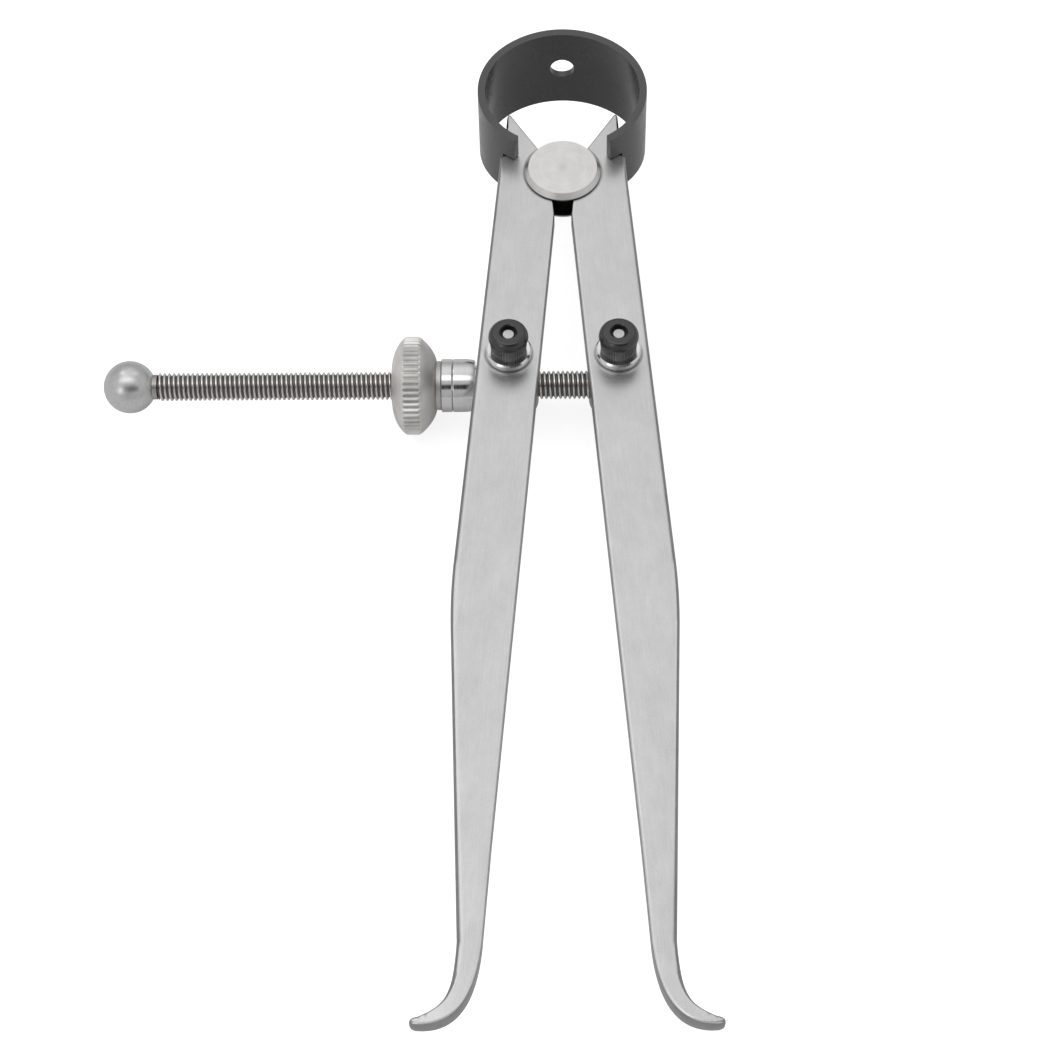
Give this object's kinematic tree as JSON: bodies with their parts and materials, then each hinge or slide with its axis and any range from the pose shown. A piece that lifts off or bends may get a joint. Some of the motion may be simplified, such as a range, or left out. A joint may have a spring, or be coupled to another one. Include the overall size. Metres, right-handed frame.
{
  "type": "spring inside caliper",
  "caption": "Spring inside caliper: flat steel legs with outturned feet roll on a spool, pressed by a bow spring and set by a knurled nut on a long screw.",
  "frame": {"origin": "centre of the fulcrum, in the middle of the thickness of the legs", "axes": "+Y from the fulcrum to the crown of the bow spring, +Z out of the front of the legs, +X to the right seen from the front"},
  "size_m": [0.0953, 0.1772, 0.0225],
  "materials": {
    "leg_steel": "satin",
    "spring_black": "satin",
    "roller_steel": "satin",
    "post_steel": "satin",
    "bright_steel": "polished",
    "cap_black": "gloss",
    "screw_steel": "satin",
    "ball_steel": "satin",
    "nut_nickel": "satin"
  },
  "bodies": {
    "fulcrum": {"fulcrum_roller": "roller_steel"},
    "spring": {"bow_spring": "spring_black"},
    "left_arm": {"left_leg": "leg_steel"},
    "right_arm": {"right_leg": "leg_steel"},
    "left_swivel": {"left_post": "post_steel", "left_washer": "bright_steel", "left_cap_nut": "cap_black", "seat_collar": "bright_steel", "thrust_ring": "bright_steel"},
    "right_swivel": {"right_post": "post_steel", "right_washer": "bright_steel", "right_cap_nut": "cap_black", "adjusting_screw": "screw_steel", "ball_end": "ball_steel", "anchor_pin": "post_steel"},
    "nut": {"adjusting_nut": "nut_nickel"}
  },
  "joints": [
    {"name": "nut_spin", "type": "hinge", "parent": "left_swivel", "child": "nut", "pos_m": [-0.0235, -0.03753, -0.0065], "axis": [-1, 0, 0], "range_deg": [-2483, 12412]},
    {"name": "left_leg_open", "type": "hinge", "parent": "fulcrum", "child": "left_arm", "pos_m": [0, 0, 0], "axis": [0, 0, -1], "range_deg": [-4.2, 21]},
    {"name": "right_leg_open", "type": "hinge", "parent": "fulcrum", "child": "right_arm", "pos_m": [0, 0, 0], "axis": [0, 0, 1], "range_deg": [-4.2, 21]},
    {"name": "left_post_swivel", "type": "hinge", "parent": "left_arm", "child": "left_swivel", "pos_m": [-0.00864, -0.03753, 0], "axis": [0, 0, 1], "range_deg": [-4.2, 21]},
    {"name": "right_post_swivel", "type": "hinge", "parent": "right_arm", "child": "right_swivel", "pos_m": [0.00864, -0.03753, 0], "axis": [0, 0, -1], "range_deg": [-4.2, 21]},
    {"name": "spring_rise", "type": "slide", "parent": "fulcrum", "child": "spring", "axis": [0, 1, 0], "range_m": [-0.0007, 0.0035]}
  ],
  "couplings": [
    {"joint": "right_leg_open", "follows": "left_leg_open", "ratio": 1},
    {"joint": "left_post_swivel", "follows": "left_leg_open", "ratio": 1},
    {"joint": "right_post_swivel", "follows": "left_leg_open", "ratio": 1},
    {"joint": "spring_rise", "follows": "left_leg_open", "m_per_rad": 0.0092},
    {"joint": "nut_spin", "follows": "left_leg_open", "ratio": 591}
  ]
}
